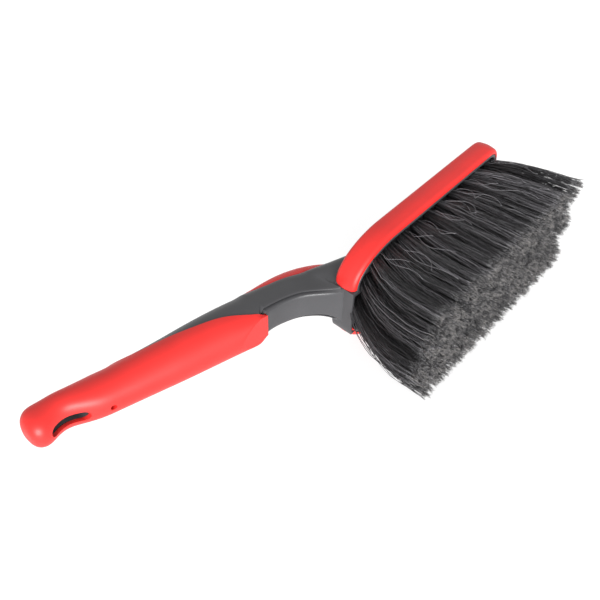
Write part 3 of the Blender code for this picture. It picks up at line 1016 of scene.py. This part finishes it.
def filaments(roots, tips, lean, sizes, rng):
    """Centre lines (filament, step, xyz) from roots to tips, fanned out early and gently waved."""
    count = len(roots)
    steps = sizes.steps + 1
    t = np.linspace(0.0, 1.0, steps)
    rise = (tips - roots) * (0.0, 1.0, 0.0)
    lateral = (tips - roots) * (1.0, 0.0, 1.0)
    fan = rng.normal(sizes.fan, FAN_SPREAD, (count, 1)).clip(*FAN_LIMITS)
    lines = roots[:, None, :] + rise[:, None, :] * t[None, :, None]
    lines += lateral[:, None, :] * (t[None, :] ** fan)[:, :, None]
    lines += lean * (sizes.bow * np.sin(math.pi * t**1.15))[None, :, None]
    for share_of, turns in WAVES:
        amount = sizes.wave * share_of * rng.uniform(0.2, 1.0, (count, 1))
        phase = rng.uniform(0, 2 * math.pi, (count, 2))
        rate = rng.uniform(*turns, (count, 2))
        grow = np.clip(t * 3.0, 0, 1)[None, :]
        for axis, k in ((0, 0), (2, 1)):
            lines[:, :, axis] += amount * grow * np.sin(
                2 * math.pi * rate[:, k : k + 1] * t[None, :] + phase[:, k : k + 1]
            )
    return lines


def tubes(lines, radii):
    """Three-sided tubes round the centre lines: (points, quads, caps) for each line."""
    count, steps, _ = lines.shape
    ahead = np.gradient(lines, axis=1)
    ahead /= np.linalg.norm(ahead, axis=2)[:, :, None] + 1e-12
    side = np.cross(ahead, np.array((0.31, 0.12, 0.94)))
    side /= np.linalg.norm(side, axis=2)[:, :, None] + 1e-12
    up = np.cross(ahead, side)
    corners = []
    for k in range(3):
        a = 2 * math.pi * k / 3
        corners.append(lines + (side * math.cos(a) + up * math.sin(a)) * radii[:, :, None])
    points = np.stack(corners, axis=2).reshape(-1, 3)
    base = (np.arange(count) * steps * 3)[:, None, None]
    row = (np.arange(steps - 1) * 3)[None, :, None]
    k = np.arange(3)[None, None, :]
    after = (k + 1) % 3
    quads = np.stack(
        [base + row + k, base + row + 3 + k, base + row + 3 + after, base + row + after], axis=-1
    ).reshape(-1, 4)
    first = base[:, 0, 0]
    last = first + (steps - 1) * 3
    caps = np.concatenate(
        [
            np.stack([first, first + 1, first + 2], axis=1),
            np.stack([last, last + 2, last + 1], axis=1),
        ]
    )
    return points, quads, caps


def bundle_mesh(name, groups):
    """One mesh from groups of (lines, radii, along, tone, column), with its attributes and map."""
    points, quads, caps, along, tone, u = [], [], [], [], [], []
    start = 0
    for lines, radii, part, tones, columns in groups:
        # The lowest filaments lie on the bench
        lines[:, :, 2] = np.maximum(lines[:, :, 2], BENCH + radii.max())
        p, q, c = tubes(lines, radii)
        points.append(p)
        quads.append(q + start)
        caps.append(c + start)
        start += len(p)
        along.append(np.repeat(part.reshape(-1), 3))
        tone.append(np.repeat(tones, lines.shape[1] * 3))
        width = columns[1]
        spread = np.tile(np.array((0.15, 0.5, 0.85)) * width, lines.shape[0] * lines.shape[1])
        u.append(np.repeat(columns[0], lines.shape[1] * 3) + spread)
    points = np.concatenate(points)
    quads = np.concatenate(quads)
    caps = np.concatenate(caps)
    along = np.concatenate(along)
    tone = np.concatenate(tone)
    u = np.concatenate(u)
    data = bpy.data.meshes.new(name)
    data.vertices.add(len(points))
    data.vertices.foreach_set("co", points.astype(np.float32).ravel())
    corners = np.concatenate([quads.ravel(), caps.ravel()]).astype(np.int32)
    data.loops.add(len(corners))
    data.loops.foreach_set("vertex_index", corners)
    starts = np.concatenate([np.arange(len(quads)) * 4, len(quads) * 4 + np.arange(len(caps)) * 3])
    data.polygons.add(len(starts))
    data.polygons.foreach_set("loop_start", starts.astype(np.int32))
    data.update(calc_edges=True)
    for label, values in (("along", along), ("tone", tone)):
        layer = data.attributes.new(label, "FLOAT", "POINT")
        layer.data.foreach_set("value", values.astype(np.float32))
    layer = data.uv_layers.new(name="OFBake")
    flat = np.stack([u[corners], 0.02 + 0.96 * np.clip(along[corners], 0, 1)], axis=1)
    layer.data.foreach_set("uv", flat.astype(np.float32).ravel())
    data.polygons.foreach_set("use_smooth", np.ones(len(starts), dtype=bool))
    return data


def split_tips(lines, radii, rng, columns, tones):
    """Fine hairs that fork from the last step of every filament."""
    end = lines[:, -1, :]
    ahead = end - lines[:, -2, :]
    ahead /= np.linalg.norm(ahead, axis=1)[:, None]
    groups = []
    for _ in range(SPLITS):
        spread = rng.normal(0.0, SPLIT_SPREAD, (len(end), 3)) * (1.0, 0.25, 1.0)
        reach = rng.uniform(*SPLIT_LENGTH, (len(end), 1)) * MM
        start = end - ahead * 1.0 * MM
        middle = end + ahead * reach * 0.35 + spread * 0.6
        tip = end + ahead * reach + spread * 1.5
        hairs = np.stack([start, middle, tip], axis=1)
        thin = np.array((0.75, 0.6, 0.32)) * radii[:, -1:]
        part = np.tile(np.array((0.965, 0.985, 1.0)), (len(end), 1))
        groups.append((hairs, thin, part, tones, columns))
    return groups


def tuft_groups(place_of, sizes, recess, seed):
    """Everything in one tuft: its filaments and their split tips."""
    root_x, root_z, tip_x, tip_z, tip_y = place_of
    rng = np.random.default_rng(seed)
    count = sizes.strands
    angle = rng.uniform(0, 2 * math.pi, count)
    out = np.sqrt(rng.uniform(0, 1, count))
    disc = np.stack([np.cos(angle) * out, np.zeros(count), np.sin(angle) * out], axis=1)
    roots = disc * ROOT_RADIUS + np.array((root_x, recess + ROOT_DEPTH, root_z))
    spread = disc * TIP_RADIUS + rng.normal(0, TIP_SCATTER, (count, 3))
    locks = spread[rng.choice(count, LOCKS, replace=False)]
    nearest = np.argmin(np.linalg.norm(spread[:, None, ::2] - locks[None, :, ::2], axis=2), axis=1)
    hold = rng.uniform(0.2, 1.0, (count, 1)) * sizes.lock
    tips = spread + (locks[nearest] - spread) * hold + np.array((tip_x, 0, tip_z))
    short = rng.exponential(sizes.uneven, count) + rng.normal(0, sizes.uneven * 0.35, count)
    tips[:, 1] = tip_y + TRIM + short
    lean = np.array((min(0.0, tip_x - root_x), 0.0, tip_z - root_z))
    lines = filaments(roots, tips, lean, sizes, rng)
    tones = 0.4 * rng.beta(0.8, 1.2, len(locks))[nearest] + 0.6 * rng.beta(0.6, 1.2, count)
    steps = lines.shape[1]
    radii = sizes.thickness * np.linspace(1.0, 0.72, steps)[None, :] * (0.7 + 0.7 * tones[:, None])
    part = np.tile(np.linspace(0.0, 0.965, steps), (count, 1))
    columns = (np.arange(count) / count, 1.0 / count)
    filament_group = (lines, radii, part, tones, columns)
    return [filament_group] + split_tips(lines, radii, rng, columns, tones)


def loose_hairs(place_of, sizes, recess, seed, count):
    """Long curled hairs that have worked free of the near side of a tuft."""
    root_x, root_z, tip_x, tip_z, tip_y = place_of
    rng = np.random.default_rng(seed)
    t = np.linspace(0.0, 1.0, HAIR_STEPS)
    lines = []
    for _ in range(count):
        end = rng.uniform(*HAIR_ENDS)
        aim = np.array((tip_x - root_x, tip_y, tip_z - root_z)) * end
        start = np.array((root_x, recess, root_z + HAIR_ROOT))
        line = start + aim * t[:, None]
        turn = rng.uniform(0, 2 * math.pi)
        rate = rng.uniform(*HAIR_TURNS)
        swing = rng.uniform(*HAIR_SWING) * MM
        line[:, 0] += swing * t * np.sin(2 * math.pi * rate * t + turn)
        line[:, 1] += 0.5 * swing * t * np.cos(2 * math.pi * rate * t + turn)
        line[:, 2] += (HAIR_OUT + HAIR_RISE * t) * np.clip(t * 4, 0, 1)
        lines.append(line)
    lines = np.array(lines)
    radii = np.full(lines.shape[:2], HAIR_RADIUS)
    part = np.tile(t * 0.5, (count, 1))
    columns = (np.zeros(count), 1.0 / sizes.strands)
    return [(lines, radii, part, np.full(count, 1.0), columns)]


class WHEEL_BRUSH_OT_bristles(bpy.types.Operator):
    """Add the bristles: one bundle of filaments for each drilled tuft"""

    bl_idname = "wheel_brush.bristles"
    bl_label = "Bristles"

    def execute(self, context):
        sizes = context.scene.brush_bristles
        recess = context.scene.brush_moulding.recess
        near_row = [name for name in TUFT_NODES if name.startswith("tuft_top_")]
        for seed, (name, place_of) in enumerate(tuft_places().items()):
            groups = tuft_groups(place_of, sizes, recess, 100 + seed)
            if name in near_row:
                hairs = sizes.loose // len(near_row)
                groups += loose_hairs(place_of, sizes, recess, 900 + seed, hairs)
            title = name.replace("tuft_", "strands_")
            item = bpy.data.objects.new(title, bundle_mesh(title, groups))
            context.scene.collection.objects.link(item)
            place(item, [name], bristle_fibre)
        return {"FINISHED"}


# ---------------------------------------------------------------- the stage

CAMERA_AT = Vector((-327.7, -179.4, 338.9)) * MM  # from the head datum
CAMERA_LOOKS = Vector((0.5178, 0.4467, -0.7296))
CAMERA_ROLL = math.radians(0.93)
KEY_FROM = Vector((-0.64, -0.75, 0.13))  # the low light shines from here towards the origin
FLOOR_SIZE = 8.0
FLOOR_DROP = 0.0002  # keeps the floor clear of what lies on the bench


class WHEEL_BRUSH_OT_stage(bpy.types.Operator):
    """Add the floor, the lights and the camera"""

    bl_idname = "wheel_brush.stage"
    bl_label = "Stage"

    def execute(self, context):
        settings = context.scene.brush_stage
        bpy.ops.object.select_all(action="DESELECT")
        bpy.ops.mesh.primitive_plane_add(size=FLOOR_SIZE, location=(0, 0, -FLOOR_DROP))
        floor = bpy.context.active_object
        floor.name = "studio_floor"
        finish = Finish("studio_floor")
        drift = finish.noise(3.0, 2.0)
        pale = tuple(settings.floor)
        floor.data.materials.append(
            finish.surface(
                Base_Color=finish.blend(drift, tinted(pale, 0.99), tinted(pale, 1.01)),
                Roughness=0.9,
                Specular_IOR_Level=0.1,
                Emission_Color=(1.0, 1.0, 1.0, 1.0),
                Emission_Strength=settings.glow,
            )
        )

        bpy.ops.object.light_add(type="SUN", location=KEY_FROM)
        key = bpy.context.active_object
        key.name = "key"
        key.data.energy = settings.key
        key.data.angle = settings.softness
        key.rotation_euler = (-KEY_FROM).to_track_quat("-Z", "Y").to_euler()

        world = bpy.data.worlds.new("studio")
        context.scene.world = world
        world.use_nodes = True
        background = world.node_tree.nodes["Background"]
        background.inputs["Color"].default_value = (1.0, 1.0, 1.0, 1.0)
        background.inputs["Strength"].default_value = settings.room

        bpy.ops.object.camera_add(location=DATUM + CAMERA_AT)
        camera = bpy.context.active_object
        camera.name = "studio_camera"
        camera.data.lens = settings.lens
        camera.data.clip_start = 0.01
        turn = CAMERA_LOOKS.to_track_quat("-Z", "Y").to_matrix().to_4x4()
        roll = Matrix.Rotation(CAMERA_ROLL, 4, "Z")
        camera.rotation_euler = (turn @ roll).to_euler()
        context.scene.camera = camera
        context.scene.view_settings.view_transform = "Standard"
        return {"FINISHED"}


# ---------------------------------------------------------------- the add-on

class WHEEL_BRUSH_PT_panel(bpy.types.Panel):
    """Lists the brush's settings and pieces"""

    bl_idname = "WHEEL_BRUSH_PT_panel"
    bl_label = "Wheel Brush"
    bl_space_type = "VIEW_3D"
    bl_region_type = "UI"
    bl_category = "Wheel Brush"

    def draw(self, context):
        layout = self.layout
        for title, group in (
            ("Moulding", context.scene.brush_moulding),
            ("Bristles", context.scene.brush_bristles),
            ("Finishes", context.scene.brush_finishes),
            ("Stage", context.scene.brush_stage),
        ):
            box = layout.box()
            box.label(text=title)
            for name in group.__annotations__:
                box.prop(group, name)
        for operator in OPERATORS:
            layout.operator(operator.bl_idname)


GROUPS = {
    "brush_moulding": MouldingSizes,
    "brush_bristles": BristleSizes,
    "brush_finishes": Finishes,
    "brush_stage": StageSettings,
}
OPERATORS = (
    WHEEL_BRUSH_OT_stage,
    WHEEL_BRUSH_OT_core,
    WHEEL_BRUSH_OT_grip,
    WHEEL_BRUSH_OT_thumb_rest,
    WHEEL_BRUSH_OT_bumper,
    WHEEL_BRUSH_OT_bristles,
)


def register():
    for name, group in GROUPS.items():
        bpy.utils.register_class(group)
        setattr(bpy.types.Scene, name, PointerProperty(type=group))
    for item in (*OPERATORS, WHEEL_BRUSH_PT_panel):
        bpy.utils.register_class(item)


def unregister():
    for item in (WHEEL_BRUSH_PT_panel, *OPERATORS[::-1]):
        bpy.utils.unregister_class(item)
    for name, group in GROUPS.items():
        delattr(bpy.types.Scene, name)
        bpy.utils.unregister_class(group)


def main():
    register()
    bpy.ops.wheel_brush.stage()
    bpy.ops.wheel_brush.core()
    bpy.ops.wheel_brush.grip()
    bpy.ops.wheel_brush.thumb_rest()
    bpy.ops.wheel_brush.bumper()
    bpy.ops.wheel_brush.bristles()


if __name__ == "__main__":
    main()
